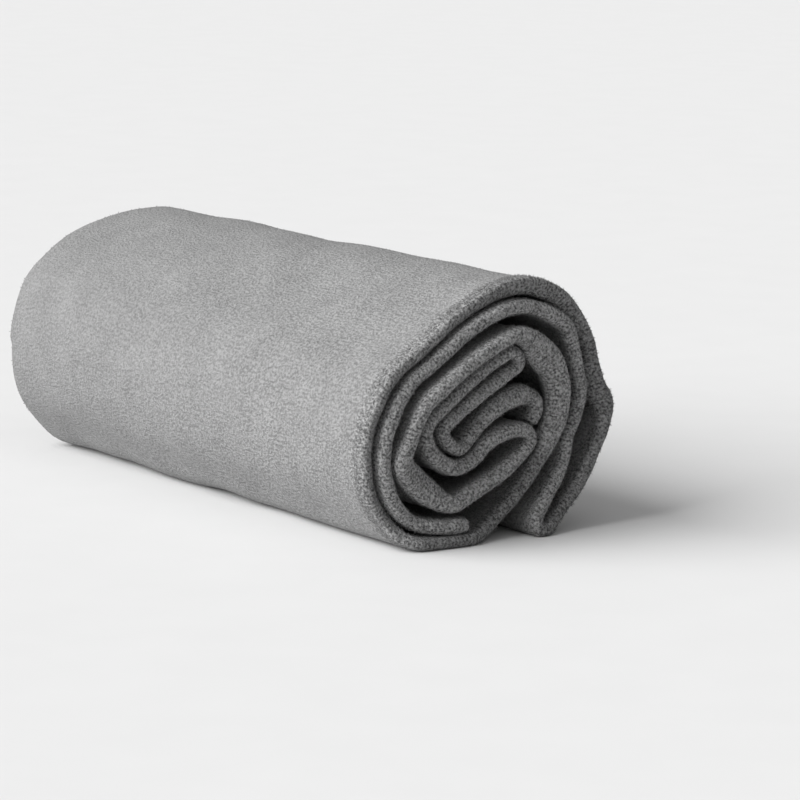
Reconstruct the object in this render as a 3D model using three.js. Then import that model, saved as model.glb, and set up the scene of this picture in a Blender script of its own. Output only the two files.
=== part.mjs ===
// A gym towel rolled up for the bag: folded in half along its length, its outer end turned
// back inside, then wound into a loose roll that lies on its side.
// Millimetres, +Z up. The roll's axis runs along X and the fold of the two plies faces +X.
import * as THREE from "three";

// The flat towel, and the band that its two plies make.
const TOWEL_WIDTH = 412;
const BAND_WIDTH = TOWEL_WIDTH / 2;
const PLY = 2;
const BAND = 2 * PLY;

// Where the rolled band's folded rim lies before the turns slide past each other.
const RIM_X = 100;

// The rim is rounded over this depth, down to this share of its thickness, and a fat rim has
// thinned to the band's own thickness about LIP_REACH behind.
const RIM_ROUND = 1.6;
const RIM_SHARE = 0.55;
const LIP_REACH = 6;

// Behind its rim the band may move aside, as soft cloth does: between these two depths.
const DEEP_FROM = 2;
const DEEP_AT = 14;

// The path of the band's middle, from the innermost end to the loose outer end, one row for
// each fold or bend: y and z of the middle, out, how far the rim slid past RIM_X there, lip,
// the rim's thickness, and deepY and deepZ, how far the band has moved aside at DEEP_AT.
const WRAP = [
  { bend: "core end", y: 14.8, z: 33.0, out: 0, lip: 4, deepY: -0.5, deepZ: 0 },
  { bend: "core turn", y: 16.9, z: 36.2, out: 0, lip: 4.1, deepY: -0.8, deepZ: 0 },
  { bend: "core corner", y: 16.6, z: 39.4, out: 0, lip: 4.6, deepY: -0.5, deepZ: 0 },
  { bend: "core top", y: 12.3, z: 41.6, out: 0.5, lip: 6.2 },
  { bend: "core slope", y: 5.0, z: 40.0, out: 0.5, lip: 6 },
  { bend: "core middle", y: -1.1, z: 36.6, out: 1, lip: 5 },
  { bend: "core low", y: -7.1, z: 30.9, out: 1, lip: 4.1 },
  { bend: "hook low", y: -10.7, z: 27.8, out: 1, lip: 4.1 },
  { bend: "hook left", y: -15.2, z: 29.9, out: 1, lip: 4.1 },
  { bend: "hook rise", y: -16.8, z: 32.8, out: 1, lip: 4.1 },
  { bend: "hook tip", y: -15.7, z: 35.2, out: 1, lip: 4.1 },
  { bend: "tongue back", y: -12.0, z: 37.5, out: 0.5, lip: 4.1 },
  { bend: "tongue middle", y: -2.5, z: 43.9, out: 0.5, lip: 4.1 },
  { bend: "tongue low", y: 7.0, z: 48.9, out: 0.5, lip: 4.1 },
  { bend: "tongue tip", y: 10.0, z: 50.7, out: 0.5, lip: 4.1 },
  { bend: "tongue nose", y: 10.3, z: 52.9, out: 0.5, lip: 4.1 },
  { bend: "tongue crown", y: 8.1, z: 54.9, out: 0.5, lip: 4.1 },
  { bend: "tongue top", y: 4.2, z: 53.8, out: 0.5, lip: 4.1 },
  { bend: "tongue slope", y: -7.0, z: 47.0, out: 0.5, lip: 4.1 },
  { bend: "tongue side", y: -17.6, z: 39.8, out: 0.5, lip: 4.1 },
  { bend: "loop shoulder", y: -21.5, z: 37.0, out: 1, lip: 4.1 },
  { bend: "loop left", y: -23.2, z: 33.2, out: 1.5, lip: 4.1 },
  { bend: "loop low left", y: -21.9, z: 28.1, out: 2, lip: 4.6 },
  { bend: "loop low", y: -17.4, z: 24.2, out: 2, lip: 4.8 },
  { bend: "loop middle", y: -12.8, z: 22.5, out: 2, lip: 4.6 },
  { bend: "loop rise", y: -6.3, z: 24.6, out: 2, lip: 4.4 },
  { bend: "cup neck", y: -2.1, z: 29.0, out: 3, lip: 4.1 },
  { bend: "cup top left", y: 1.5, z: 31.0, out: 4, lip: 4.1 },
  { bend: "cup top", y: 6.9, z: 32.0, out: 4, lip: 4.1 },
  { bend: "cup right", y: 11.5, z: 31.2, out: 4, lip: 4.1 },
  { bend: "cup turn", y: 12.8, z: 28.5, out: 4, lip: 4.1 },
  { bend: "cup slope", y: 9.5, z: 25.1, out: 4, lip: 4.1 },
  { bend: "cup foot", y: 0.9, z: 19.3, out: 4, lip: 4.6, deepY: 1.6, deepZ: -1.4 },
  { bend: "ridge right", y: -9.2, z: 14.6, out: 4, lip: 5, deepY: 1, deepZ: -0.8 },
  { bend: "ridge foot", y: -15.6, z: 12.2, out: 4, lip: 5, deepY: -0.4, deepZ: -0.3 },
  { bend: "ridge low", y: -20.9, z: 14.9, out: 4, lip: 7.5, deepY: -1.8, deepZ: -1.2 },
  { bend: "ridge middle", y: -27.1, z: 20.1, out: 4, lip: 9, deepY: -2.2, deepZ: -2 },
  { bend: "ridge side", y: -31.8, z: 24.9, out: 4.5, lip: 7.5, deepY: -2, deepZ: -1.2 },
  { bend: "ridge corner", y: -32.7, z: 28.3, out: 5, lip: 5 },
  { bend: "third left", y: -31.1, z: 31.8, out: 5, lip: 4.1 },
  { bend: "third low slope", y: -25.7, z: 42.3, out: 5, lip: 4.1 },
  { bend: "third slope", y: -19.1, z: 47.5, out: 5, lip: 4.1 },
  { bend: "third rise", y: -5.7, z: 55.7, out: 5, lip: 4.1 },
  { bend: "third top left", y: 1.1, z: 58.7, out: 5, lip: 4.1 },
  { bend: "third top", y: 6.9, z: 60.6, out: 5, lip: 4.3 },
  { bend: "third crown", y: 11.5, z: 59.3, out: 5, lip: 6, deepY: 0, deepZ: -0.5 },
  { bend: "third shoulder", y: 17.5, z: 53.9, out: 4.8, lip: 9, deepY: 0.5, deepZ: 0 },
  { bend: "third right", y: 22.3, z: 47.8, out: 4.4, lip: 8, deepY: 1.5, deepZ: 0.5 },
  { bend: "third side", y: 23.8, z: 40.8, out: 4, lip: 7.4, deepY: 1.8, deepZ: 0 },
  { bend: "third elbow", y: 22.1, z: 33.4, out: 4, lip: 6.8, deepY: 1.8, deepZ: -0.5 },
  { bend: "third low right", y: 17.4, z: 24.9, out: 4, lip: 5.4, deepY: 1, deepZ: -0.5 },
  { bend: "third heel", y: 8.3, z: 13.4, out: 3.5, lip: 4.3 },
  { bend: "bottom heel", y: -2.7, z: 4.4, out: 4, lip: 4.1 },
  { bend: "bottom right", y: -10.5, z: 1.4, out: 6, lip: 3.5 },
  { bend: "bottom middle", y: -21.6, z: 1.5, out: 6, lip: 3.5 },
  { bend: "bottom left", y: -29.4, z: 2.4, out: 5, lip: 3.6 },
  { bend: "outer toe", y: -33.3, z: 4.6, out: 2.5, lip: 3.9 },
  { bend: "outer low left", y: -36.1, z: 8.7, out: 0, lip: 4.1 },
  { bend: "outer lower left", y: -41.4, z: 17.8, out: 0, lip: 4.1 },
  { bend: "outer left", y: -42.8, z: 27.1, out: 0, lip: 4.1 },
  { bend: "outer upper left", y: -41.5, z: 36.7, out: 0, lip: 4.1 },
  { bend: "outer slope", y: -35.1, z: 49.4, out: 0, lip: 4.1 },
  { bend: "outer middle", y: -24.6, z: 57.1, out: 0, lip: 4.1 },
  { bend: "outer rise", y: -10.9, z: 66.1, out: 0, lip: 4.1 },
  { bend: "outer top left", y: -0.4, z: 71.6, out: 0, lip: 4.6 },
  { bend: "outer top", y: 5.6, z: 73.4, out: 0, lip: 5.2 },
  { bend: "outer crown", y: 14.4, z: 74.0, out: 0, lip: 5.6 },
  { bend: "outer shoulder", y: 22.5, z: 71.3, out: 0, lip: 5.6 },
  { bend: "outer shoulder right", y: 28.6, z: 67.1, out: 0, lip: 5.2 },
  { bend: "outer right", y: 35.1, z: 58.3, out: 0, lip: 4.3 },
  { bend: "outer side", y: 38.2, z: 47.9, out: 0, lip: 5.2 },
  { bend: "flap neck", y: 39.1, z: 41.9, out: 1, lip: 6.8 },
  { bend: "flap corner", y: 41.2, z: 37.1, out: 2, lip: 7 },
  { bend: "flap cheek", y: 40.0, z: 30.8, out: 3, lip: 4.1 },
  { bend: "flap side", y: 31.8, z: 16.2, out: 4, lip: 4.1 },
  { bend: "flap low", y: 20.7, z: 4.8, out: 6, lip: 4.1 },
  { bend: "flap toe", y: 16.7, z: 2.2, out: 8, lip: 3.9 },
  { bend: "flap sole", y: 14.9, z: 1.1, out: 8, lip: 3.9 },
  { bend: "flap heel", y: 12.5, z: 2.4, out: 8, lip: 3.9 },
  { bend: "fold back", y: 13.1, z: 5.8, out: 7, lip: 3.9 },
  { bend: "fold rise", y: 18.2, z: 11.3, out: 5, lip: 4.1 },
  { bend: "fold middle", y: 24.2, z: 19.4, out: 3, lip: 4.1 },
  { bend: "second low", y: 26.6, z: 27.0, out: 2.5, lip: 4.1 },
  { bend: "second elbow", y: 30.7, z: 34.0, out: 1.6, lip: 4.1 },
  { bend: "second side", y: 32.3, z: 39.9, out: 1.6, lip: 4.1 },
  { bend: "second right", y: 31.1, z: 50.0, out: 1.6, lip: 4.1 },
  { bend: "second shoulder", y: 27.3, z: 60.8, out: 1.8, lip: 4.8 },
  { bend: "second crown", y: 21.2, z: 65.0, out: 1.8, lip: 4.8 },
  { bend: "second top", y: 13.1, z: 68.1, out: 1.6, lip: 4.1 },
  { bend: "second top left", y: 4.1, z: 67.8, out: 1.6, lip: 4.1 },
  { bend: "second rise", y: -6.0, z: 63.5, out: 1.6, lip: 4.1 },
  { bend: "second middle", y: -20.9, z: 53.8, out: 1.6, lip: 4.1 },
  { bend: "second slope", y: -29.3, z: 48.0, out: 1.6, lip: 4.1 },
  { bend: "second upper left", y: -35.5, z: 38.9, out: 1.6, lip: 4.1 },
  { bend: "second left", y: -38.1, z: 28.3, out: 1.6, lip: 4.1 },
  { bend: "second low left", y: -37.2, z: 20.6, out: 1.6, lip: 4.2 },
  { bend: "second toe", y: -33.8, z: 13.2, out: 2, lip: 4.3 },
  { bend: "second bottom", y: -28.4, z: 8.0, out: 3, lip: 4.2 },
  { bend: "second end", y: -20.9, z: 6.1, out: 5, lip: 4.2 },
  { bend: "loose end", y: -10.9, z: 5.7, out: 5, lip: 4 },
];

// Away from the folded rim the roll is rounder: its slanting side swells by SWELL towards the
// far end, most at SWELL_Y, SWELL_Z, and the roll leans over by LEAN at the height LEAN_HEIGHT.
const SWELL = 9;
const SWELL_Y = -30;
const SWELL_Z = 63;
const SWELL_REACH = 22;
const LEAN = 3;
const LEAN_HEIGHT = 30;

// On the inside of a bend the band is squeezed to no more than this share of the bend's radius,
// which is read off the path over SQUEEZE_SPAN each way.
const SQUEEZE = 0.55;
const SQUEEZE_SPAN = 1.6;

// How finely the band is cut: the most that it turns and runs between two samples, and the
// cuts across it, as distances from the folded rim.
const MOST_TURN = THREE.MathUtils.degToRad(15);
const MOST_STEP = 9;
const CUTS = [0, RIM_ROUND, 8, 18, 50, 90, 130, 170, BAND_WIDTH];

// The samples along the wrap: position (x holds out), the unit normal in the YZ plane, the
// rim's thickness, and the way that the band moves behind its rim.
function wrapSamples() {
  const rows = WRAP.map(({ y, z, out }) => new THREE.Vector3(out, y, z));
  const curve = new THREE.CatmullRomCurve3(rows, false, "centripetal");
  curve.arcLengthDivisions = 4000;
  const length = curve.getLength();
  const fine = Math.round(length);
  const samples = [];
  let lastHeading = null;
  let lastAt = -Infinity;
  for (let i = 0; i <= fine; i += 1) {
    const share = i / fine;
    const tangent = curve.getTangentAt(share);
    const heading = Math.atan2(tangent.z, tangent.y);
    const turned = lastHeading === null ? 0 : Math.abs(turnBetween(lastHeading, heading));
    const due = turned > MOST_TURN || share * length - lastAt > MOST_STEP;
    if (i === 0 || i === fine || due) {
      const at = curve.getUtoTmapping(share) * (WRAP.length - 1);
      samples.push({
        place: curve.getPointAt(share),
        normal: new THREE.Vector3(0, -Math.sin(heading), Math.cos(heading)),
        bow: bowAt(curve, share, length),
        lip: between(at, ({ lip }) => lip),
        deep: new THREE.Vector3(
          0,
          between(at, ({ deepY = 0 }) => deepY),
          between(at, ({ deepZ = 0 }) => deepZ),
        ),
      });
      lastHeading = heading;
      lastAt = share * length;
    }
  }
  return samples;
}

// How sharply the path bends, as 1 over the radius, positive where the normal points inwards.
function bowAt(curve, share, length) {
  const before = curve.getTangentAt(Math.max(share - SQUEEZE_SPAN / length, 0));
  const after = curve.getTangentAt(Math.min(share + SQUEEZE_SPAN / length, 1));
  const turned = turnBetween(Math.atan2(before.z, before.y), Math.atan2(after.z, after.y));
  return turned / (2 * SQUEEZE_SPAN);
}

// The value that a column of the table has at a place between two of its rows.
function between(at, column) {
  const before = Math.min(Math.floor(at), WRAP.length - 2);
  return THREE.MathUtils.lerp(column(WRAP[before]), column(WRAP[before + 1]), at - before);
}

function turnBetween(from, to) {
  return THREE.MathUtils.euclideanModulo(to - from + Math.PI, 2 * Math.PI) - Math.PI;
}

// Rounds the roll out towards its far end, and keeps what would sink on the floor.
function settle(point, fromRim) {
  const far = THREE.MathUtils.smoothstep(fromRim, 0, BAND_WIDTH);
  const away = Math.hypot(point.y - SWELL_Y, point.z - SWELL_Z) / SWELL_REACH;
  const swell = SWELL * far * Math.exp(-0.5 * away * away);
  point.y -= 0.62 * swell + LEAN * far * THREE.MathUtils.smoothstep(point.z, 0, LEAN_HEIGHT);
  point.z += 0.78 * swell;
  point.z = Math.max(point.z, 0);
  return point;
}

// A point of the band's skin: side is 1 or -1, for the two faces of the band.
function bandPoint(sample, fromRim, side) {
  const share = fromRim === 0 ? RIM_SHARE : 1;
  const flat = Math.min(sample.lip, BAND);
  const thick = flat + (sample.lip - flat) * Math.exp(-((fromRim / LIP_REACH) ** 2));
  const deep = THREE.MathUtils.smoothstep(fromRim, DEEP_FROM, DEEP_AT);
  const point = sample.place.clone().addScaledVector(sample.deep, deep);
  const inwards = Math.max(side * sample.bow, 1e-6);
  const off = Math.min((share * thick) / 2, SQUEEZE / inwards);
  point.addScaledVector(sample.normal, side * off);
  point.x = RIM_X + sample.place.x - fromRim;
  return settle(point, fromRim);
}

// A closed solid from a grid of points with two sides: the faces of both sides and its rim.
function thickSheet(columns, rows, pointAt) {
  const positions = [];
  const index = [];
  const at = (side, column, row) => (side * columns + column) * rows + row;
  const quad = (a, b, c, d) => index.push(a, b, c, a, c, d);
  for (const side of [0, 1]) {
    for (let column = 0; column < columns; column += 1) {
      for (let row = 0; row < rows; row += 1) {
        positions.push(...pointAt(column, row, side).toArray());
      }
    }
  }
  const last = columns - 1;
  const end = rows - 1;
  for (let c = 0; c < last; c += 1) {
    for (let r = 0; r < end; r += 1) {
      quad(at(0, c, r), at(0, c, r + 1), at(0, c + 1, r + 1), at(0, c + 1, r));
      quad(at(1, c, r), at(1, c + 1, r), at(1, c + 1, r + 1), at(1, c, r + 1));
    }
    quad(at(0, c, 0), at(0, c + 1, 0), at(1, c + 1, 0), at(1, c, 0));
    quad(at(0, c, end), at(1, c, end), at(1, c + 1, end), at(0, c + 1, end));
  }
  for (let r = 0; r < end; r += 1) {
    quad(at(0, 0, r), at(1, 0, r), at(1, 0, r + 1), at(0, 0, r + 1));
    quad(at(0, last, r), at(0, last, r + 1), at(1, last, r + 1), at(1, last, r));
  }
  const geometry = new THREE.BufferGeometry();
  geometry.setAttribute("position", new THREE.Float32BufferAttribute(positions, 3));
  geometry.setIndex(index);
  geometry.computeVertexNormals();
  return geometry;
}

// Puts the middle of the bounding box's bottom face at the origin.
function standOnOrigin(geometry) {
  geometry.computeBoundingBox();
  const middle = geometry.boundingBox.getCenter(new THREE.Vector3());
  geometry.translate(-middle.x, -middle.y, -geometry.boundingBox.min.z);
  return geometry;
}

function towelRoll() {
  const samples = wrapSamples();
  const geometry = thickSheet(samples.length, CUTS.length, (column, row, side) =>
    bandPoint(samples[column], CUTS[row], side === 0 ? -1 : 1),
  );
  const cloth = new THREE.MeshStandardMaterial({ color: 0x9a9a9a, roughness: 0.95, metalness: 0 });
  const mesh = new THREE.Mesh(standOnOrigin(geometry), cloth);
  mesh.name = "towel_roll";
  return mesh;
}

const towel = new THREE.Group();
towel.add(towelRoll());

export default towel;
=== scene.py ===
import math

import bmesh
import bpy
import numpy as np
from bpy.props import FloatProperty, FloatVectorProperty, IntProperty, PointerProperty
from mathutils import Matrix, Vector


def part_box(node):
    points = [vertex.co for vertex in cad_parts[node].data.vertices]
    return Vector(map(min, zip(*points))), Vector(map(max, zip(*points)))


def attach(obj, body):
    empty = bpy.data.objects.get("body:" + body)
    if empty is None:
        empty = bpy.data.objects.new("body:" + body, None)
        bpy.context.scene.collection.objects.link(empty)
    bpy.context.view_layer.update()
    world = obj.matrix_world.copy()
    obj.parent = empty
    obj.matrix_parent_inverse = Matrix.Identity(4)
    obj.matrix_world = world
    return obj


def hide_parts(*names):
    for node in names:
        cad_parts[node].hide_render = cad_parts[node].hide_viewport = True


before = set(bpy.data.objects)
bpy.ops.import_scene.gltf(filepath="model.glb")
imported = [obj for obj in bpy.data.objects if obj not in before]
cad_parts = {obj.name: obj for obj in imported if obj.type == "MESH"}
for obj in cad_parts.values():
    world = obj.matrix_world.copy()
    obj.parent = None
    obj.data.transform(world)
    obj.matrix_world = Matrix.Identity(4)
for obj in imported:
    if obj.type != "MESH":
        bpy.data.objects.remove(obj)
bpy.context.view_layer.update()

bl_info = {
    "name": "Rolled Gym Towel",
    "version": (1, 0, 0),
    "blender": (4, 5, 0),
    "location": "3D View > Sidebar > Towel",
    "description": "Builds a gym towel folded in half, its end turned back, and rolled up for the bag",
    "category": "Add Mesh",
}

CAD_NODE = "towel_roll"
BODY = "root"

MM = 0.001

# Where the folded rim of the rolled band lies before the turns slide past each other, in
# millimetres from the middle of the roll.
RIM_X = 100

# Behind its rim the band moves by deep_y and deep_z of the table below, between these distances.
DEEP_FROM = 2
DEEP_AT = 14

# The path of the band's middle from the innermost end to the loose outer end, one row for each
# fold or bend, in millimetres: y and z of the band's middle at the rim, out, how far the rim slid
# past RIM_X there, lip, the band's thickness at its folded rim, and deep_y and deep_z.
WRAP = (
    # bend, y, z, out, lip, deep_y, deep_z
    ("core end", 14.8, 33.0, 0, 4, -0.5, 0),
    ("core turn", 16.9, 36.2, 0, 4.1, -0.8, 0),
    ("core corner", 16.6, 39.4, 0, 4.6, -0.5, 0),
    ("core top", 12.3, 41.6, 0.5, 6.2, 0, 0),
    ("core slope", 5.0, 40.0, 0.5, 6, 0, 0),
    ("core middle", -1.1, 36.6, 1, 5, 0, 0),
    ("core low", -7.1, 30.9, 1, 4.1, 0, 0),
    ("hook low", -10.7, 27.8, 1, 4.1, 0, 0),
    ("hook left", -15.2, 29.9, 1, 4.1, 0, 0),
    ("hook rise", -16.8, 32.8, 1, 4.1, 0, 0),
    ("hook tip", -15.7, 35.2, 1, 4.1, 0, 0),
    ("tongue back", -12.0, 37.5, 0.5, 4.1, 0, 0),
    ("tongue middle", -2.5, 43.9, 0.5, 4.1, 0, 0),
    ("tongue low", 7.0, 48.9, 0.5, 4.1, 0, 0),
    ("tongue tip", 10.0, 50.7, 0.5, 4.1, 0, 0),
    ("tongue nose", 10.3, 52.9, 0.5, 4.1, 0, 0),
    ("tongue crown", 8.1, 54.9, 0.5, 4.1, 0, 0),
    ("tongue top", 4.2, 53.8, 0.5, 4.1, 0, 0),
    ("tongue slope", -7.0, 47.0, 0.5, 4.1, 0, 0),
    ("tongue side", -17.6, 39.8, 0.5, 4.1, 0, 0),
    ("loop shoulder", -21.5, 37.0, 1, 4.1, 0, 0),
    ("loop left", -23.2, 33.2, 1.5, 4.1, 0, 0),
    ("loop low left", -21.9, 28.1, 2, 4.6, 0, 0),
    ("loop low", -17.4, 24.2, 2, 4.8, 0, 0),
    ("loop middle", -12.8, 22.5, 2, 4.6, 0, 0),
    ("loop rise", -6.3, 24.6, 2, 4.4, 0, 0),
    ("cup neck", -2.1, 29.0, 3, 4.1, 0, 0),
    ("cup top left", 1.5, 31.0, 4, 4.1, 0, 0),
    ("cup top", 6.9, 32.0, 4, 4.1, 0, 0),
    ("cup right", 11.5, 31.2, 4, 4.1, 0, 0),
    ("cup turn", 12.8, 28.5, 4, 4.1, 0, 0),
    ("cup slope", 9.5, 25.1, 4, 4.1, 0, 0),
    ("cup foot", 0.9, 19.3, 4, 4.6, 1.6, -1.4),
    ("ridge right", -9.2, 14.6, 4, 5, 1, -0.8),
    ("ridge foot", -15.6, 12.2, 4, 5, -0.4, -0.3),
    ("ridge low", -20.9, 14.9, 4, 7.5, -1.8, -1.2),
    ("ridge middle", -27.1, 20.1, 4, 9, -2.2, -2),
    ("ridge side", -31.8, 24.9, 4.5, 7.5, -2, -1.2),
    ("ridge corner", -32.7, 28.3, 5, 5, 0, 0),
    ("third left", -31.1, 31.8, 5, 4.1, 0, 0),
    ("third low slope", -25.7, 42.3, 5, 4.1, 0, 0),
    ("third slope", -19.1, 47.5, 5, 4.1, 0, 0),
    ("third rise", -5.7, 55.7, 5, 4.1, 0, 0),
    ("third top left", 1.1, 58.7, 5, 4.1, 0, 0),
    ("third top", 6.9, 60.6, 5, 4.3, 0, 0),
    ("third crown", 11.5, 59.3, 5, 6, 0, -0.5),
    ("third shoulder", 17.5, 53.9, 4.8, 9, 0.5, 0),
    ("third right", 22.3, 47.8, 4.4, 8, 1.5, 0.5),
    ("third side", 23.8, 40.8, 4, 7.4, 1.8, 0),
    ("third elbow", 22.1, 33.4, 4, 6.8, 1.8, -0.5),
    ("third low right", 17.4, 24.9, 4, 5.4, 1, -0.5),
    ("third heel", 8.3, 13.4, 3.5, 4.3, 0, 0),
    ("bottom heel", -2.7, 4.4, 4, 4.1, 0, 0),
    ("bottom right", -10.5, 1.4, 6, 3.5, 0, 0),
    ("bottom middle", -21.6, 1.5, 6, 3.5, 0, 0),
    ("bottom left", -29.4, 2.4, 5, 3.6, 0, 0),
    ("outer toe", -33.3, 4.6, 2.5, 3.9, 0, 0),
    ("outer low left", -36.1, 8.7, 0, 4.1, 0, 0),
    ("outer lower left", -41.4, 17.8, 0, 4.1, 0, 0),
    ("outer left", -42.8, 27.1, 0, 4.1, 0, 0),
    ("outer upper left", -41.5, 36.7, 0, 4.1, 0, 0),
    ("outer slope", -35.1, 49.4, 0, 4.1, 0, 0),
    ("outer middle", -24.6, 57.1, 0, 4.1, 0, 0),
    ("outer rise", -10.9, 66.1, 0, 4.1, 0, 0),
    ("outer top left", -0.4, 71.6, 0, 4.6, 0, 0),
    ("outer top", 5.6, 73.4, 0, 5.2, 0, 0),
    ("outer crown", 14.4, 74.0, 0, 5.6, 0, 0),
    ("outer shoulder", 22.5, 71.3, 0, 5.6, 0, 0),
    ("outer shoulder right", 28.6, 67.1, 0, 5.2, 0, 0),
    ("outer right", 35.1, 58.3, 0, 4.3, 0, 0),
    ("outer side", 38.2, 47.9, 0, 5.2, 0, 0),
    ("flap neck", 39.1, 41.9, 1, 6.8, 0, 0),
    ("flap corner", 41.2, 37.1, 2, 7, 0, 0),
    ("flap cheek", 40.0, 30.8, 3, 4.1, 0, 0),
    ("flap side", 31.8, 16.2, 4, 4.1, 0, 0),
    ("flap low", 20.7, 4.8, 6, 4.1, 0, 0),
    ("flap toe", 16.7, 2.2, 8, 3.9, 0, 0),
    ("flap sole", 14.9, 1.1, 8, 3.9, 0, 0),
    ("flap heel", 12.5, 2.4, 8, 3.9, 0, 0),
    ("fold back", 13.1, 5.8, 7, 3.9, 0, 0),
    ("fold rise", 18.2, 11.3, 5, 4.1, 0, 0),
    ("fold middle", 24.2, 19.4, 3, 4.1, 0, 0),
    ("second low", 26.6, 27.0, 2.5, 4.1, 0, 0),
    ("second elbow", 30.7, 34.0, 1.6, 4.1, 0, 0),
    ("second side", 32.3, 39.9, 1.6, 4.1, 0, 0),
    ("second right", 31.1, 50.0, 1.6, 4.1, 0, 0),
    ("second shoulder", 27.3, 60.8, 1.8, 4.8, 0, 0),
    ("second crown", 21.2, 65.0, 1.8, 4.8, 0, 0),
    ("second top", 13.1, 68.1, 1.6, 4.1, 0, 0),
    ("second top left", 4.1, 67.8, 1.6, 4.1, 0, 0),
    ("second rise", -6.0, 63.5, 1.6, 4.1, 0, 0),
    ("second middle", -20.9, 53.8, 1.6, 4.1, 0, 0),
    ("second slope", -29.3, 48.0, 1.6, 4.1, 0, 0),
    ("second upper left", -35.5, 38.9, 1.6, 4.1, 0, 0),
    ("second left", -38.1, 28.3, 1.6, 4.1, 0, 0),
    ("second low left", -37.2, 20.6, 1.6, 4.2, 0, 0),
    ("second toe", -33.8, 13.2, 2, 4.3, 0, 0),
    ("second bottom", -28.4, 8.0, 3, 4.2, 0, 0),
    ("second end", -20.9, 6.1, 5, 4.2, 0, 0),
    ("loose end", -10.9, 5.7, 5, 4, 0, 0),
)

# The columns of the path that is worked out from the table.
OUT, ACROSS, UP, LIP, DEEP_Y, DEEP_Z = range(6)

# How far behind the rim a thick lip's two layers come together.
LIP_REACH = 6

# The roll's middle height, round which its turns lie, and the size that turns an angle round it
# into a distance.
MIDDLE_UP = 37
ROUND_SIZE = 40

# Away from the folded rim the roll is rounder: its slanting side swells by SWELL towards the far
# end, most at SWELL_Y, SWELL_Z, by the share SWELL_BACK along -Y and SWELL_RISE upwards. The roll
# also leans over, by LEAN from the height LEAN_HEIGHT up.
SWELL = 9
SWELL_Y = -30
SWELL_Z = 63
SWELL_REACH = 22
SWELL_BACK = 0.62
SWELL_RISE = 0.78
LEAN = 3
LEAN_HEIGHT = 30

# Soft waves of the cloth that neighbouring turns share: how high each is at the far end, and
# its length along X and round the roll, in millimetres. They start and are full at these
# distances from the rim.
SOFT_WAVES_REACH = (4, 60)
SOFT_WAVES = (
    # height, along, round, phase
    (0.32, 92, 61, 0.4),
    (0.22, 57, -38, 2.1),
    (0.16, -41, 47, 4.4),
    (0.1, 29, 26, 1.3),
)

# Waves of the folded rim along X, and how far behind it they die away.
RIM_WAVES_REACH = 12
RIM_WAVES = (
    # height, length along the wrap, phase
    (0.35, 61, 0.3),
    (0.25, 23, 1.9),
    (0.12, 9.5, 4.0),
)

# The most that a fat rim bulges forward of where its layers run straight.
FOLD_DEPTH = 2.4

# Between these two bends the outer turn's rim is blunt: as deep as this, nearly square, and
# sloping back towards the inside of the roll. Every other rim is round, and one that is
# thicker than FAT_LIP slopes back by LIP_SLOPE for each millimetre over it.
BLUNT_BENDS = ("outer toe", "flap neck")
BLUNT_DEPTH = 1.5
BLUNT_SLOPE = 1.5
FAT_LIP = 5
LIP_SLOPE = 0.6
SLOPE_REACH = 10
BLUNT_POWER = 4.2
ROUND_POWER = 2.2

# How far a change of the rim between two bends is spread along the wrap.
SOFT_BEND = 12

# Stretches of the rim that are darkened with painted shade, because the lights alone leave them
# too light: the two bends and the tone between them. It isn't known whether the pile is darker
# there or only shaded. The painted shade is full up to the first distance from the fold, and gone
# at the second. With every tone at 1 no shade is painted.
PAINTED_SHADE_RIMS = (
    # from bend, to bend, tone
    ("third low right", "bottom left", 0.72),
    ("outer toe", "outer rise", 0.88),
    ("outer rise", "outer right", 0.74),
    ("outer right", "flap heel", 0.7),
)
PAINTED_SHADE_REACH = (3.4, 6.4)

# How finely the wrap's curve is drawn before it is cut: places for each bend, then a step, and
# the number of steps over which its turning is evened out.
PLACES_PER_BEND = 160
FINE_STEP = 0.25
EVENED_STEPS = 13

# How finely the cloth is cut: the longest and shortest step along the wrap, the share of a
# bend's radius that a step may be, the rows round the fold and behind it as distances from it,
# the steps of the outer and the inner layer further on, and the rows and columns at the edges.
LONGEST_STEP = 2.1
SHORTEST_STEP = 0.5
STEP_OF_RADIUS = 0.22
FOLD_ROWS = 5
NEAR_ROWS = (2.3, 3.1, 4.2, 5.6, 7.4, 9.6, 12.2, 15.4, 19.2, 24)
FAR_STEP_OUTSIDE = 6.5
FAR_STEP_INSIDE = 13
EDGE_ROWS = (10, 6, 3, 1.4, 0.7, 0.25, 0)
END_EDGE = 3

# The hem's thickness as a share of the cloth's, the depth and width of the groove that its
# stitches draw in, how far its step is spread, how far from an edge its rounding starts, and the
# least share of the thickness there, squared.
THICKEST = 1.25
GROOVE_DEPTH = 0.35
GROOVE_WIDTH = 0.9
HEM_STEP = 0.5
EDGE_ROUNDING = 1.1
THINNEST = 0.02

# The pile's sizes in millimetres: how the ribs wander, its loops, its single fibres, and the
# large soft patches. GRAIN_STRETCH draws the grain out along the roll.
WANDER_SIZE = 3.2
WANDER_RIBS = 2.6
LOOP_SIZE = 0.74
FIBRE_SIZE = 0.34
PATCH_SIZE = 15
GRAIN_STRETCH = (0.8, 1, 1)

# The part of each noise's range that is spread over the whole height or light.
LOOP_RANGE = (0.32, 0.68)
FIBRE_RANGE = (0.25, 0.75)
PATCH_RANGE = (0.3, 0.7)

# What share of the pile's height the ribs, loops and fibres are, and the heights that are
# painted darkest and lightest: painted shade in the low places between the loops.
RIB_SHARE = 0.14
LOOP_SHARE = 0.56
FIBRE_SHARE = 0.3
DARK_HEIGHT = 0.22
LIGHT_HEIGHT = 0.76
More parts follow.
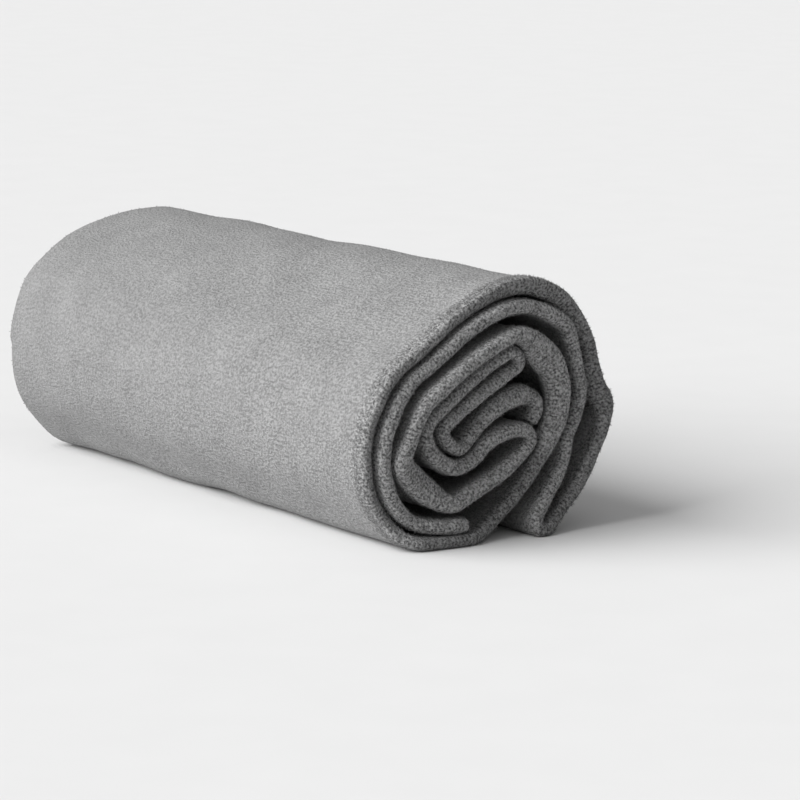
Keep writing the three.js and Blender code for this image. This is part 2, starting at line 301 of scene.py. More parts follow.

# How light the pile is on the whole, and how much the patches and its height change that. The
# height's part is painted shade in the low places between the loops; it falls from the rim's to
# the body's over RIM_REACH from the fold, and then to the share FAR_CONTRAST of that over
# FAR_REACH.
MEAN_LIGHT = 0.93
PATCH_LIGHT = 0.15
RIM_CONTRAST = 1.25
BODY_CONTRAST = 0.55
FAR_CONTRAST = 0.65
RIM_REACH = (3.5, 8)
FAR_REACH = (50, 190)

# How dull the pile is, and its relief's depth in millimetres and strength.
PILE_ROUGHNESS = 0.95
PILE_SPECULAR = 0.15
PILE_SHEEN = 0.08
RELIEF = 0.5
RELIEF_STRENGTH = 0.9

# How light the darkest and the lightest tuft are.
TUFT_TONES = (0.65, 1.3)

# The tufts that stand out from the pile: their number on the rim and on the outer turn, the
# rim's reach to both sides of the fold, and the outer turn's shares of the wrap's length.
RIM_PILE = 40000
RIM_PILE_REACH = (-6, 6)
OUTER_PILE = 40000
OUTER_PILE_SHARES = (0.5, 0.84)

# A tuft's length on the rim and on the outer turn and its width, its foot's radius as a share of
# that width, how much its length and width vary, how deep its root sits in the cloth, how far it
# leans, and its least height over the floor.
RIM_TUFT = 1.0
OUTER_TUFT = 0.62
TUFT_WIDTH = 0.42
TUFT_FOOT = 0.45
LENGTH_RANGE = (0.6, 1.25)
WIDTH_RANGE = (0.7, 1.3)
TUFT_SUNK = 0.3
TUFT_LEAN = 0.8
OVER_FLOOR = 0.05

# Before they are set on the cloth, the tufts stand in rows of 2 ** TRAY_STEPS, a unit apart,
# the rows TRAY_GAP apart.
TRAY_STEPS = 8
TRAY_GAP = 2

# The point that the camera looks at, in the roll's own millimetres.
LOOK_AT = (84.56, -21.52, 41.21)

# The floor's half width in metres, its grain's scale, and its darkest and lightest tone.
FLOOR_SIZE = 6
FLOOR_GRAIN = 40
FLOOR_TONES = (0.7, 0.71)


class TowelSettings(bpy.types.PropertyGroup):
    """The cloth's sizes, weave and colour."""

    width: FloatProperty(
        name="Flat Width",
        description="Width of the towel laid flat; the fold halves it",
        default=412 * MM,
        unit="LENGTH",
    )
    length: FloatProperty(
        name="Flat Length",
        description="Length of the towel laid flat",
        default=786 * MM,
        unit="LENGTH",
    )
    ply: FloatProperty(
        name="Cloth Thickness",
        description="Thickness of one layer of the towel with its pile",
        default=2.0 * MM,
        unit="LENGTH",
    )
    fold_radius: FloatProperty(
        name="Fold Radius",
        description="Radius of the layer's middle round the folded rim",
        default=1.05 * MM,
        unit="LENGTH",
    )
    hem: FloatProperty(
        name="Hem Width",
        description="Width of the turned hem at the towel's two ends",
        default=9 * MM,
        unit="LENGTH",
    )
    rib_pitch: FloatProperty(
        name="Rib Pitch",
        description="Distance between two rows of pile along the wrap",
        default=1.25 * MM,
        unit="LENGTH",
    )
    colour: FloatVectorProperty(
        name="Colour",
        description="Colour of the pile",
        subtype="COLOR",
        size=4,
        min=0,
        max=1,
        default=(0.253, 0.253, 0.253, 1),
    )
    seed: IntProperty(name="Seed", description="Seed of the uneven places", default=7)


class StudioSettings(bpy.types.PropertyGroup):
    """The camera, the lights and the floor."""

    azimuth: FloatProperty(
        name="Camera Azimuth",
        description="Direction of the camera round the towel; 0 looks along +Y",
        default=math.radians(56),
        subtype="ANGLE",
    )
    elevation: FloatProperty(
        name="Camera Elevation",
        description="Height of the camera above the horizon",
        default=math.radians(10),
        subtype="ANGLE",
    )
    distance: FloatProperty(
        name="Camera Distance",
        description="Distance from the camera to the point it looks at",
        default=1.118,
        unit="LENGTH",
    )
    lens: FloatProperty(
        name="Focal Length", description="Focal length on a 36 mm sensor", default=171
    )
    key_azimuth: FloatProperty(
        name="Key Azimuth",
        description="Direction of the key light round the towel; 0 shines along +Y",
        default=math.radians(-20),
        subtype="ANGLE",
    )
    key_elevation: FloatProperty(
        name="Key Elevation",
        description="Height of the key light above the horizon",
        default=math.radians(34),
        subtype="ANGLE",
    )
    key_strength: FloatProperty(
        name="Key Strength", description="Strength of the key light", default=4.6
    )
    key_spread: FloatProperty(
        name="Key Spread",
        description="Angle that the soft key light fills, seen from the towel",
        default=math.radians(60),
        subtype="ANGLE",
    )
    fill_azimuth: FloatProperty(
        name="Fill Azimuth",
        description="Direction of the wide fill light round the towel",
        default=math.radians(-10),
        subtype="ANGLE",
    )
    fill_elevation: FloatProperty(
        name="Fill Elevation",
        description="Height of the fill light above the horizon",
        default=math.radians(70),
        subtype="ANGLE",
    )
    fill_strength: FloatProperty(
        name="Fill Strength", description="Strength of the wide fill light", default=0.5
    )
    fill_spread: FloatProperty(
        name="Fill Spread",
        description="Angle that the fill light fills, seen from the towel",
        default=math.radians(110),
        subtype="ANGLE",
    )
    room_strength: FloatProperty(
        name="Room Strength", description="Strength of the even light of the room", default=0.26
    )


def smooth_between(value, low, high):
    """0 below low, 1 above high, and a smooth rise between them."""
    share = np.clip((value - low) / (high - low), 0.0, 1.0)
    return share * share * (3 - 2 * share)


def through_bends(rows):
    """A centripetal Catmull-Rom curve through the rows, whose first three columns are its place."""
    rows = np.asarray(rows, float)
    before = 2 * rows[0] - rows[1]
    after = 2 * rows[-1] - rows[-2]
    rows = np.vstack([before, rows, after])
    gaps = np.sqrt(np.linalg.norm(np.diff(rows[:, :3], axis=0), axis=1))
    share = np.linspace(0, 1, PLACES_PER_BEND, endpoint=False)[:, None]
    made = []
    for i in range(1, len(rows) - 2):
        start, end = rows[i], rows[i + 1]
        last, here, following = gaps[i - 1], gaps[i], gaps[i + 1]
        leave = (
            (start - rows[i - 1]) / last
            - (end - rows[i - 1]) / (last + here)
            + (end - start) / here
        ) * here
        arrive = (
            (end - start) / here
            - (rows[i + 2] - start) / (here + following)
            + (rows[i + 2] - end) / following
        ) * here
        cubic = 2 * start - 2 * end + leave + arrive
        square = -3 * start + 3 * end - 2 * leave - arrive
        made.append(start + leave * share + square * share**2 + cubic * share**3)
    return np.vstack(made + [rows[-2]])


def wrap_columns():
    """The cloth's columns, as distances along the wrap that are closer in tight bends, and the
    path's row for each."""
    fine = through_bends([row[3:4] + row[1:3] + row[4:7] for row in WRAP])
    steps = np.linalg.norm(np.diff(fine[:, :3], axis=0), axis=1)
    along = np.concatenate([[0], np.cumsum(steps)])
    even = np.arange(0, along[-1], FINE_STEP)
    path = np.stack([np.interp(even, along, column) for column in fine.T], axis=1)
    heading = np.unwrap(np.arctan2(np.gradient(path[:, UP]), np.gradient(path[:, ACROSS])))
    turn = np.abs(np.gradient(heading, even)) + 1e-6
    turn = np.pad(turn, EVENED_STEPS // 2, mode="edge")
    turn = np.convolve(turn, np.ones(EVENED_STEPS) / EVENED_STEPS, mode="valid")
    step = np.clip(STEP_OF_RADIUS / turn, SHORTEST_STEP, LONGEST_STEP)
    count = np.concatenate([[0], np.cumsum(FINE_STEP / step[:-1])])
    columns = np.interp(np.linspace(0, count[-1], math.ceil(count[-1])), count, even)
    end = along[-1]
    edge = np.array([row for row in EDGE_ROWS if row < END_EDGE])
    inner = columns[(columns > END_EDGE) & (columns < end - END_EDGE)]
    columns = np.concatenate([edge[::-1], inner, end - edge])
    path = np.stack([np.interp(columns, along, column) for column in fine.T], axis=1)
    return columns, path


def rows_across(towel):
    """The cloth's rows as signed distances from the fold: the outer layer is positive."""
    half = towel.width / MM / 2
    quarter = towel.fold_radius / MM * math.pi / 2
    fold = [quarter * i / FOLD_ROWS for i in range(FOLD_ROWS + 1)]

    def one_side(step):
        start, stop = NEAR_ROWS[-1], half - EDGE_ROWS[0]
        count = round((stop - start) / step)
        far = [start + (stop - start) * i / count for i in range(1, count)]
        return fold + list(NEAR_ROWS) + far + [half - edge for edge in EDGE_ROWS]

    inner = [-row for row in reversed(one_side(FAR_STEP_INSIDE))]
    return np.array(inner[:-1] + one_side(FAR_STEP_OUTSIDE))


def settle(y, z, from_rim, half):
    """Rounds the roll out towards its far end, and lets it lean."""
    far = smooth_between(from_rim, 0, half)
    away = np.hypot(y - SWELL_Y, z - SWELL_Z) / SWELL_REACH
    swell = SWELL * far * np.exp(-0.5 * away**2)
    lean = LEAN * far * smooth_between(z, 0, LEAN_HEIGHT)
    return y - SWELL_BACK * swell - lean, z + SWELL_RISE * swell


def soft_waves(x, y, z, from_rim):
    """How far the shared soft waves push the cloth out of the roll's middle."""
    round_roll = np.arctan2(z - MIDDLE_UP, y) * ROUND_SIZE
    push = sum(
        height * np.sin(2 * math.pi * (x / along + round_roll / around) + phase)
        for height, along, around, phase in SOFT_WAVES
    )
    return push * smooth_between(from_rim, *SOFT_WAVES_REACH)


def band_row(path, columns, behind, towel):
    """The band's middle, its normal and half the space between its layers' middles, in
    millimetres, at one distance behind the rim."""
    half, ply = towel.width / MM / 2, towel.ply / MM
    flat = towel.fold_radius / MM
    apart = flat + (path[:, LIP] / 2 - ply / 2 - flat) * math.exp(-((behind / LIP_REACH) ** 2))
    deep = smooth_between(behind, DEEP_FROM, DEEP_AT)
    y = path[:, ACROSS] + deep * path[:, DEEP_Y]
    z = path[:, UP] + deep * path[:, DEEP_Z]
    y, z = settle(y, z, behind, half)
    x = RIM_X + path[:, OUT] - behind
    push = soft_waves(x, y, z, behind)
    away = np.hypot(y, z - MIDDLE_UP) + 1e-6
    y, z = y + push * y / away, z + push * (z - MIDDLE_UP) / away
    z = np.maximum(z, apart + ply / 2)
    along_y, along_z = np.gradient(y, columns), np.gradient(z, columns)
    size = np.hypot(along_y, along_z) + 1e-9
    normal = np.stack([0 * x, -along_z / size, along_y / size], axis=1)
    return np.stack([x, y, z], axis=1), normal, apart


def between_bends(columns, bends):
    """1 between the two named bends and 0 elsewhere, for each column."""
    places = np.array([row[1:4] for row in WRAP])
    names = [row[0] for row in WRAP]
    along = np.concatenate([[0], np.cumsum(np.linalg.norm(np.diff(places, axis=0), axis=1))])
    along *= columns[-1] / along[-1]
    start, end = (along[names.index(bend)] for bend in bends)
    soft = SOFT_BEND / 2
    entered = smooth_between(columns, start - soft, start + soft)
    left = smooth_between(columns, end - soft, end + soft)
    return entered * (1 - left)


def rim_painted_shade(along, across, columns):
    """The painted shade of the rims at those distances along the wrap and across from the fold."""
    tone = np.ones(len(columns))
    for *bends, darkest in PAINTED_SHADE_RIMS:
        tone *= 1 - (1 - darkest) * between_bends(columns, bends)
    near = 1 - smooth_between(np.abs(across), *PAINTED_SHADE_REACH)
    return 1 - (1 - np.interp(along, columns, tone)) * near


def set_painted_shade(mesh, painted_shades):
    """Keeps the painted rim shade for each vertex in the mesh's attribute that the shade group reads.
    """
    mesh.attributes.new("rim_painted_shade", "FLOAT", "POINT").data.foreach_set("value", painted_shades.reshape(-1))


def cloth_points(towel):
    """Every place of the cloth's middle, as rows across by columns along, with both distances."""
    columns, path = wrap_columns()
    blunt = between_bends(columns, BLUNT_BENDS)
    power = 2 / (ROUND_POWER + (BLUNT_POWER - ROUND_POWER) * blunt)
    slope = BLUNT_SLOPE * blunt + LIP_SLOPE * np.maximum(path[:, LIP] - FAT_LIP, 0)
    rows = rows_across(towel)
    radius = towel.fold_radius / MM
    quarter = radius * math.pi / 2
    waves = sum(
        height * np.sin(2 * math.pi * columns / length + phase)
        for height, length, phase in RIM_WAVES
    )
    places = np.zeros((len(rows), len(columns), 3))
    for i, row in enumerate(rows):
        reach = abs(row)
        turned = min(reach / radius, math.pi / 2)
        behind = radius * (1 - math.cos(turned)) + max(reach - quarter, 0)
        middle, normal, apart = band_row(path, columns, behind, towel)
        deep = np.minimum(apart, FOLD_DEPTH) * (1 - blunt) + BLUNT_DEPTH * blunt
        side = math.sin(turned) ** power * math.copysign(1, row)
        middle[:, 0] += radius * (1 - math.cos(turned)) - deep * (1 - math.cos(turned) ** power)
        middle[:, 0] -= slope * (1 - side) / 2 * math.exp(-behind / SLOPE_REACH)
        middle[:, 0] += waves * math.exp(-behind / RIM_WAVES_REACH)
        places[i] = middle + normal * (apart * side)[:, None]
    return places, rows, columns


def edge_weights(rows, columns, towel):
    """The cloth's thickness at each place, 1 being the hem's: rounded off at every edge."""

    def rounded(distance):
        inward = 1 - np.clip(distance / EDGE_ROUNDING, 0, 1)
        return np.sqrt(np.clip(1 - inward**2, THINNEST, 1))

    hem, half = towel.hem / MM, towel.width / MM / 2
    from_end = np.minimum(columns, columns[-1] - columns)
    groove = 1 - GROOVE_DEPTH * np.exp(-(((from_end - hem) / GROOVE_WIDTH) ** 2))
    plain = 1 / THICKEST
    hemmed = 1 - smooth_between(from_end, hem - HEM_STEP, hem + HEM_STEP)
    along = (plain + (1 - plain) * hemmed) * groove * rounded(from_end)
    across = rounded(half - np.abs(rows))
    return across[:, None] * along[None, :]


def frame_shift(places, towel):
    """The move, in metres, that sets the roll's own places into the CAD node's box."""
    low, high = (np.array(corner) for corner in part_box(CAD_NODE))
    grown = towel.ply / 2
    mine_low = places.reshape(-1, 3).min(0) * MM - grown
    mine_high = places.reshape(-1, 3).max(0) * MM + grown
    shift = (low + high) / 2 - (mine_low + mine_high) / 2
    shift[2] = low[2]
    shift[0] = high[0] - mine_high[0]
    return shift


def new_piece(name, mesh_maker):
    """A new object at the origin from the bmesh that mesh_maker fills."""
    mesh = bpy.data.meshes.new(name)
    bm = bmesh.new()
    mesh_maker(bm)
    bm.normal_update()
    bm.to_mesh(mesh)
    bm.free()
    piece = bpy.data.objects.new(name, mesh)
    bpy.context.scene.collection.objects.link(piece)
    for polygon in mesh.polygons:
        polygon.use_smooth = True
    return piece


def math_node(tree, operation, first, second=None, third=None):
    """A Math node whose inputs are numbers or other nodes' sockets; its result socket."""
    made = tree.nodes.new("ShaderNodeMath")
    made.operation = operation
    for i, value in enumerate((first, second, third)):
        if value is None:
            continue
        if isinstance(value, (int, float)):
            made.inputs[i].default_value = value
        else:
            tree.links.new(value, made.inputs[i])
    return made.outputs[0]


def noise(tree, vector, scale, detail=2.0, rough=0.5, stretch=(1, 1, 1)):
    """Noise of the given scale per metre, times stretch for each axis; its 0 to 1 socket."""
    mapping = tree.nodes.new("ShaderNodeMapping")
    mapping.inputs["Scale"].default_value = [scale * s for s in stretch]
    tree.links.new(vector, mapping.inputs["Vector"])
    made = tree.nodes.new("ShaderNodeTexNoise")
    made.inputs["Scale"].default_value = 1.0
    made.inputs["Detail"].default_value = detail
    made.inputs["Roughness"].default_value = rough
    tree.links.new(mapping.outputs["Vector"], made.inputs["Vector"])
    return made.outputs["Fac"]


def map_range(tree, value, low, high, to_low, to_high):
    """A clamped Map Range node; its result socket."""
    made = tree.nodes.new("ShaderNodeMapRange")
    ends = {"From Min": low, "From Max": high, "To Min": to_low, "To Max": to_high}
    for name, number in ends.items():
        made.inputs[name].default_value = number
    tree.links.new(value, made.inputs["Value"])
    return made.outputs["Result"]


def pile_weave_group(towel):
    """Short pile: how high it stands, and how light it looks. Its low places between the loops
    carry painted shade, the most at the fold, where V of the cloth's UV is 0."""
    group = bpy.data.node_groups.new("Pile Rows", "ShaderNodeTree")
    group.interface.new_socket("UV", in_out="INPUT", socket_type="NodeSocketVector")
    group.interface.new_socket("Place", in_out="INPUT", socket_type="NodeSocketVector")
    group.interface.new_socket("Height", in_out="OUTPUT", socket_type="NodeSocketFloat")
    group.interface.new_socket("Light", in_out="OUTPUT", socket_type="NodeSocketFloat")
    enter = group.nodes.new("NodeGroupInput")
    leave = group.nodes.new("NodeGroupOutput")
    uv, place = enter.outputs["UV"], enter.outputs["Place"]
    split = group.nodes.new("ShaderNodeSeparateXYZ")
    group.links.new(uv, split.inputs[0])
    wander = noise(group, uv, 1 / (WANDER_SIZE * MM), detail=2)
    wander = math_node(group, "SUBTRACT", wander, 0.5)
    wander = math_node(group, "MULTIPLY", wander, WANDER_RIBS * towel.rib_pitch)
    turns = math_node(group, "ADD", split.outputs["X"], wander)
    turns = math_node(group, "MULTIPLY", turns, 2 * math.pi / towel.rib_pitch)
    rib = math_node(group, "MULTIPLY_ADD", math_node(group, "SINE", turns), 0.5, 0.5)
    loops = noise(group, place, 1 / (LOOP_SIZE * MM), detail=1.5, rough=0.55, stretch=GRAIN_STRETCH)
    loops = map_range(group, loops, *LOOP_RANGE, 0, 1)
    fibre = noise(group, place, 1 / (FIBRE_SIZE * MM), detail=1, rough=0.5, stretch=GRAIN_STRETCH)
    fibre = map_range(group, fibre, *FIBRE_RANGE, 0, 1)
    patches = noise(group, uv, 1 / (PATCH_SIZE * MM), detail=3, rough=0.6)
    patches = map_range(group, patches, *PATCH_RANGE, -0.5, 0.5)
    height = math_node(group, "MULTIPLY", loops, LOOP_SHARE)
    height = math_node(group, "MULTIPLY_ADD", rib, RIB_SHARE, height)
    height = math_node(group, "MULTIPLY_ADD", fibre, FIBRE_SHARE, height)
    from_fold = math_node(group, "ABSOLUTE", split.outputs["Y"])
    near, clear = (reach * MM for reach in RIM_REACH)
    contrast = map_range(group, from_fold, near, clear, RIM_CONTRAST, BODY_CONTRAST)
    near, clear = (reach * MM for reach in FAR_REACH)
    far = map_range(group, from_fold, near, clear, 1, FAR_CONTRAST)
    contrast = math_node(group, "MULTIPLY", contrast, far)
    # Painted shade: the low places of the pile are darker.
    light = map_range(group, height, DARK_HEIGHT, LIGHT_HEIGHT, -0.5, 0.5)
    light = math_node(group, "MULTIPLY_ADD", light, contrast, MEAN_LIGHT)
    light = math_node(group, "MULTIPLY_ADD", patches, PATCH_LIGHT, light)
    group.links.new(height, leave.inputs["Height"])
    group.links.new(light, leave.inputs["Light"])
    return group


def rim_painted_shade_group():
    """Darkens a light by the piece's own painted rim shade."""
    group = bpy.data.node_groups.new("Rim Painted Shade", "ShaderNodeTree")
    group.interface.new_socket("Light", in_out="INPUT", socket_type="NodeSocketFloat")
    group.interface.new_socket("Light", in_out="OUTPUT", socket_type="NodeSocketFloat")
    enter = group.nodes.new("NodeGroupInput")
    leave = group.nodes.new("NodeGroupOutput")
    tone = group.nodes.new("ShaderNodeAttribute")
    tone.attribute_name = "rim_painted_shade"
    light = math_node(group, "MULTIPLY", enter.outputs["Light"], tone.outputs["Fac"])
    group.links.new(light, leave.inputs["Light"])
    return group


def tinted(tree, towel, light):
    """The towel's colour, as light as the socket says and darkened by painted shade along the listed
    rims.
    """
    painted_shade_node = tree.nodes.new("ShaderNodeGroup")
    painted_shade_node.node_tree = bpy.data.node_groups.get("Rim Painted Shade") or rim_painted_shade_group()
    tree.links.new(light, painted_shade_node.inputs["Light"])
    tint = tree.nodes.new("ShaderNodeVectorMath")
    tint.operation = "SCALE"
    tint.inputs["Vector"].default_value = towel.colour[:3]
    tree.links.new(painted_shade_node.outputs["Light"], tint.inputs["Scale"])
    return tint.outputs["Vector"]


def dull_material(name, roughness, specular):
    """A material with a dull shader; the material, its tree and the shader."""
    material = bpy.data.materials.new(name)
    material.use_nodes = True
    shader = material.node_tree.nodes["Principled BSDF"]
    shader.inputs["Roughness"].default_value = roughness
    shader.inputs["Specular IOR Level"].default_value = specular
    return material, material.node_tree, shader


def cloth_uv(tree):
    """The cloth's own UV: the distances along the wrap and across from the fold; its socket."""
    uv = tree.nodes.new("ShaderNodeUVMap")
    uv.uv_map = "cloth"
    return uv.outputs["UV"]


def cloth_material(towel):
    """Grey pile: short loops with painted shade in the gaps between them, dull, with the faintest
    sheen.
    """
    material, tree, shader = dull_material("Towel Pile", PILE_ROUGHNESS, PILE_SPECULAR)
    shader.inputs["Sheen Weight"].default_value = PILE_SHEEN
    shader.inputs["Sheen Roughness"].default_value = 0.5
    weave = tree.nodes.new("ShaderNodeGroup")
    weave.node_tree = pile_weave_group(towel)
    tree.links.new(cloth_uv(tree), weave.inputs["UV"])
    place = tree.nodes.new("ShaderNodeTexCoord")
    tree.links.new(place.outputs["Object"], weave.inputs["Place"])
    tree.links.new(tinted(tree, towel, weave.outputs["Light"]), shader.inputs["Base Color"])
    bump = tree.nodes.new("ShaderNodeBump")
    bump.inputs["Strength"].default_value = RELIEF_STRENGTH
    bump.inputs["Distance"].default_value = RELIEF * MM
    tree.links.new(weave.outputs["Height"], bump.inputs["Height"])
    tree.links.new(bump.outputs["Normal"], shader.inputs["Normal"])
    return material


def tuft_material(towel):
    """Single tufts of the same pile, each a little lighter or darker than the next."""
    material, tree, shader = dull_material("Towel Tufts", PILE_ROUGHNESS, PILE_SPECULAR)
    chance = tree.nodes.new("ShaderNodeTexWhiteNoise")
    chance.noise_dimensions = "2D"
    tree.links.new(cloth_uv(tree), chance.inputs["Vector"])
    light = map_range(tree, chance.outputs["Value"], 0, 1, *TUFT_TONES)
    tree.links.new(tinted(tree, towel, light), shader.inputs["Base Color"])
    return material


def floor_material():
    """Pale seamless paper, with the faintest grain."""
    material, tree, shader = dull_material("Pale Floor", 0.9, 0.1)
    place = tree.nodes.new("ShaderNodeTexCoord")
    grain = noise(tree, place.outputs["Object"], FLOOR_GRAIN)
    tone = map_range(tree, grain, *PATCH_RANGE, *FLOOR_TONES)
    tree.links.new(tone, shader.inputs["Base Color"])
    return material


def pile_skin(places, rows, columns, towel):
    """The cloth's outer skin and its normals, on the same grid as places."""
    along = np.gradient(places, columns, axis=1)
    across = np.gradient(places, rows, axis=0)
    normals = np.cross(across, along)
    normals /= np.linalg.norm(normals, axis=2, keepdims=True) + 1e-9
    if normals[np.argmin(np.abs(rows))].mean(axis=0)[0] < 0:
        normals = -normals
    return places + normals * (towel.ply / MM / 2), normals


def pile_places(skin, rows, columns, count, reach, span, random):
    """Random places on the skin, between two distances from the fold and two along the wrap, with
    their normals and both distances, in millimetres."""
    surface, normals = skin
    v = random.uniform(*reach, count)
    u = random.uniform(*span, count)
    row = np.interp(v, rows, np.arange(len(rows)))
    column = np.interp(u, columns, np.arange(len(columns)))
    r = np.minimum(row.astype(int), len(rows) - 2)
    c = np.minimum(column.astype(int), len(columns) - 2)
    down, right = (row - r)[:, None], (column - c)[:, None]

    def at(grid):
        top = grid[r, c] * (1 - right) + grid[r, c + 1] * right
        bottom = grid[r + 1, c] * (1 - right) + grid[r + 1, c + 1] * right
        return top * (1 - down) + bottom * down

    return at(surface), at(normals), np.stack([u, v], axis=1)


def tray_number(x, y):
    """The number of the tuft that stands at that point of the tray."""
    return np.floor(x + 0.5 + 1e-6) + np.floor(y / TRAY_GAP + 0.5) * 2**TRAY_STEPS


def fill_tray(bm, count):
    """Fills a bmesh with count slivers, in rows on the tray, by doubling the first one."""
    bmesh.ops.create_cone(bm, cap_ends=True, segments=3, radius1=TUFT_FOOT, radius2=0, depth=1)
    for step in range(math.ceil(math.log2(count))):
        copied = bmesh.ops.duplicate(bm, geom=bm.verts[:] + bm.edges[:] + bm.faces[:])
        moved = [item for item in copied["geom"] if isinstance(item, bmesh.types.BMVert)]
        if step < TRAY_STEPS:
            move = (2**step, 0, 0)
        else:
            move = (0, 2 ** (step - TRAY_STEPS) * TRAY_GAP, 0)
        bmesh.ops.translate(bm, verts=moved, vec=move)
    spare = [vert for vert in bm.verts if tray_number(vert.co.x, vert.co.y) >= count]
    bmesh.ops.delete(bm, geom=spare, context="VERTS")


def tuft_piece(name, found, tall, shift, columns, random):
    """One closed sliver of pile at each place, leaning a little at random."""
    where, normals, uv = found
    count = len(where)
    piece = new_piece(name, lambda bm: fill_tray(bm, count))
    mesh = piece.data
    local = np.zeros(len(mesh.vertices) * 3)
    mesh.vertices.foreach_get("co", local)
    local = local.reshape(-1, 3)
    mine = tray_number(local[:, 0], local[:, 1]).astype(int)
    row, place = np.divmod(mine, 2**TRAY_STEPS)
    local -= np.stack([place, row * TRAY_GAP, 0 * mine], axis=1)
    up = normals + random.normal(0, TUFT_LEAN, (count, 3))
    up /= np.linalg.norm(up, axis=1, keepdims=True)
    one = np.cross(up, random.normal(0, 1, (count, 3)))
    one /= np.linalg.norm(one, axis=1, keepdims=True)
    two = np.cross(up, one)
    length = tall * random.uniform(*LENGTH_RANGE, (count, 1))
    width = TUFT_WIDTH * random.uniform(*WIDTH_RANGE, (count, 1))
    at = (where - normals * TUFT_SUNK)[mine]
    at += local[:, 0:1] * (width * one)[mine] + local[:, 1:2] * (width * two)[mine]
    at += (local[:, 2:3] + 0.5) * (length * up)[mine]
    at[:, 2] = np.maximum(at[:, 2], OVER_FLOOR)
    mesh.vertices.foreach_set("co", (at * MM + shift).reshape(-1))
    loops = np.zeros(len(mesh.loops), int)
    mesh.loops.foreach_get("vertex_index", loops)
    mesh.uv_layers.new(name="cloth").data.foreach_set("uv", (uv * MM)[mine[loops]].reshape(-1))
    # The same painted rim shade as on the cloth.
    set_painted_shade(mesh, rim_painted_shade(uv[mine, 0], uv[mine, 1], columns))
    mesh.update()
    return piece


def toward(azimuth, elevation):
    """The direction from the towel to that azimuth and elevation. Azimuth 0 is -Y."""
    return Vector((
        math.sin(azimuth) * math.cos(elevation),
        -math.cos(azimuth) * math.cos(elevation),
        math.sin(elevation),
    ))


def floor_grid(bm):
    """A plain square at the height 0."""
    bmesh.ops.create_grid(bm, x_segments=4, y_segments=4, size=FLOOR_SIZE)


def new_sun(name, azimuth, elevation, strength, spread):
    """A soft light from that azimuth and elevation, as wide as spread."""
    light = bpy.data.lights.new(name, "SUN")
    light.energy = strength
    light.angle = spread
    lamp = bpy.data.objects.new(name, light)
    lamp.rotation_euler = (-toward(azimuth, elevation)).to_track_quat("-Z", "Y").to_euler()
    bpy.context.scene.collection.objects.link(lamp)


class TOWEL_OT_stage(bpy.types.Operator):
    """Set up the camera, the soft lights and the pale floor"""

    bl_idname = "towel.set_stage"
    bl_label = "Set Up Studio"

    def execute(self, context):
        scene = context.scene
        studio, towel = scene.towel_studio, scene.towel_cloth
        places, _, _ = cloth_points(towel)
        shift = Vector(frame_shift(places, towel))
        back = toward(studio.azimuth, studio.elevation)
        camera = bpy.data.objects.new("Camera", bpy.data.cameras.new("Camera"))
        camera.data.lens = studio.lens
        camera.data.sensor_width = 36
        camera.location = Vector(LOOK_AT) * MM + shift + back * studio.distance
        camera.rotation_euler = (-back).to_track_quat("-Z", "Y").to_euler()
        scene.collection.objects.link(camera)
        scene.camera = camera

        new_sun("Key", studio.key_azimuth, studio.key_elevation, studio.key_strength, studio.key_spread)
        new_sun(
            "Fill", studio.fill_azimuth, studio.fill_elevation, studio.fill_strength, studio.fill_spread
        )
        world = bpy.data.worlds.new("Room")
        world.use_nodes = True
        room = world.node_tree.nodes["Background"]
        room.inputs["Color"].default_value = (1, 1, 1, 1)
        room.inputs["Strength"].default_value = studio.room_strength
        scene.world = world
        scene.view_settings.view_transform = "Standard"

        floor = new_piece("Floor", floor_grid)
        floor.data.materials.append(floor_material())
        return {"FINISHED"}


class TOWEL_OT_cloth(bpy.types.Operator):
    """Roll up the folded towel"""

    bl_idname = "towel.roll_cloth"
    bl_label = "Roll Cloth"

    def execute(self, context):
        towel = context.scene.towel_cloth
        places, rows, columns = cloth_points(towel)
        flat = places.reshape(-1, 3) * MM + frame_shift(places, towel)

        def fill(bm):
            bmesh.ops.create_grid(bm, x_segments=len(columns) - 1, y_segments=len(rows) - 1, size=0.5)
            bm.verts.ensure_lookup_table()
            layer = bm.loops.layers.uv.new("cloth")
            for vertex, place in zip(bm.verts, flat):
                vertex.co = place
            for face in bm.faces:
                for loop in face.loops:
                    row, column = divmod(loop.vert.index, len(columns))
                    loop[layer].uv = (columns[column] * MM, rows[row] * MM)

        cloth = new_piece("towel_cloth", fill)
        # Painted shade along the listed stretches of the rim.
        set_painted_shade(cloth.data, rim_painted_shade(columns[None, :], rows[:, None], columns))
        cloth.data.materials.append(cloth_material(towel))
        group = cloth.vertex_groups.new(name="thickness")
        for index, weight in enumerate(edge_weights(rows, columns, towel).reshape(-1)):
            group.add([index], float(weight), "REPLACE")
        thicken = cloth.modifiers.new("Thickness", "SOLIDIFY")
        thicken.thickness = towel.ply * THICKEST
        thicken.offset = 0
        thicken.vertex_group = "thickness"
        thicken.thickness_vertex_group = 0
        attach(cloth, BODY)
        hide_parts(CAD_NODE)
        return {"FINISHED"}


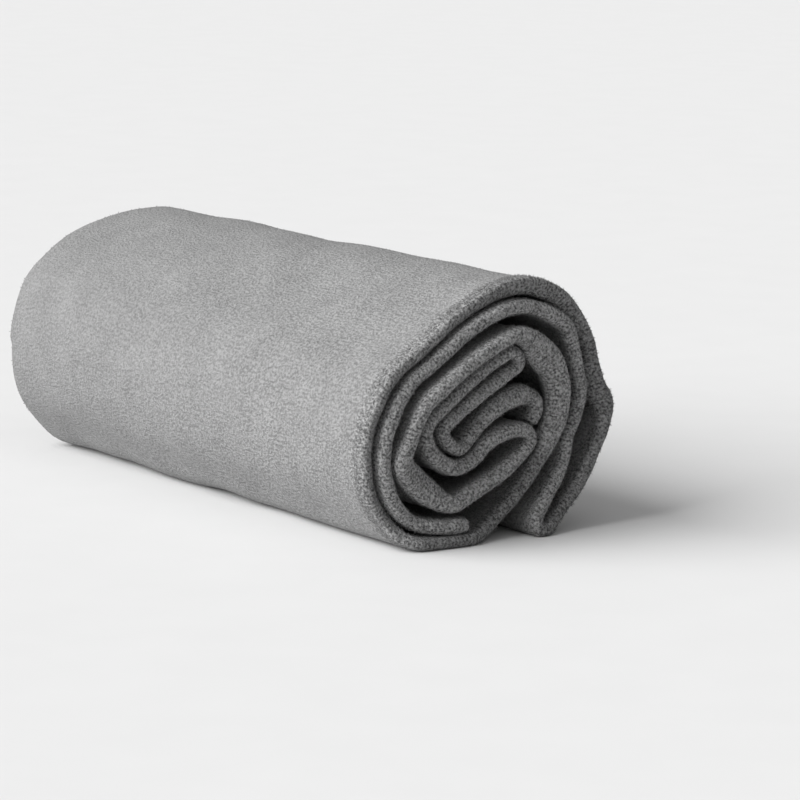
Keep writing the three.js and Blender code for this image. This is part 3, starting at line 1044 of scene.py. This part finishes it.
class TOWEL_OT_pile(bpy.types.Operator):
    """Raise the short pile along the folded rim and over the outer turn"""

    bl_idname = "towel.raise_pile"
    bl_label = "Raise Pile"

    def execute(self, context):
        towel = context.scene.towel_cloth
        places, rows, columns = cloth_points(towel)
        skin = pile_skin(places, rows, columns, towel)
        shift = frame_shift(places, towel)
        random = np.random.default_rng(towel.seed)
        whole = (0, columns[-1])
        rim = pile_places(skin, rows, columns, RIM_PILE, RIM_PILE_REACH, whole, random)
        beyond = (RIM_PILE_REACH[1], rows[-1])
        turn = [columns[-1] * share for share in OUTER_PILE_SHARES]
        outer = pile_places(skin, rows, columns, OUTER_PILE, beyond, turn, random)
        material = tuft_material(towel)
        for name, found, tall in (("pile_rim", rim, RIM_TUFT), ("pile_outer", outer, OUTER_TUFT)):
            pile = tuft_piece(name, found, tall, shift, columns, random)
            pile.data.materials.append(material)
            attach(pile, BODY)
        return {"FINISHED"}


class TOWEL_PT_sidebar(bpy.types.Panel):
    """The towel's pieces and studio"""

    bl_label = "Rolled Gym Towel"
    bl_idname = "TOWEL_PT_sidebar"
    bl_space_type = "VIEW_3D"
    bl_region_type = "UI"
    bl_category = "Towel"

    def draw(self, context):
        for operator in OPERATORS:
            self.layout.operator(operator.bl_idname)
        for settings in (context.scene.towel_cloth, context.scene.towel_studio):
            box = self.layout.box()
            for name in settings.__annotations__:
                box.prop(settings, name)


# In the order in which they are run.
OPERATORS = (TOWEL_OT_stage, TOWEL_OT_cloth, TOWEL_OT_pile)
CLASSES = (TowelSettings, StudioSettings, *OPERATORS, TOWEL_PT_sidebar)


def register():
    for cls in CLASSES:
        bpy.utils.register_class(cls)
    bpy.types.Scene.towel_cloth = PointerProperty(type=TowelSettings)
    bpy.types.Scene.towel_studio = PointerProperty(type=StudioSettings)


def unregister():
    del bpy.types.Scene.towel_studio
    del bpy.types.Scene.towel_cloth
    for cls in reversed(CLASSES):
        bpy.utils.unregister_class(cls)


def plain(box):
    """A box's two corners as plain lists."""
    return [list(corner) for corner in box]


def main():
    """Build the towel and its studio"""
    register()
    bpy.ops.towel.set_stage()
    bpy.ops.towel.roll_cloth()
    bpy.ops.towel.raise_pile()


if __name__ == "__main__":
    main()
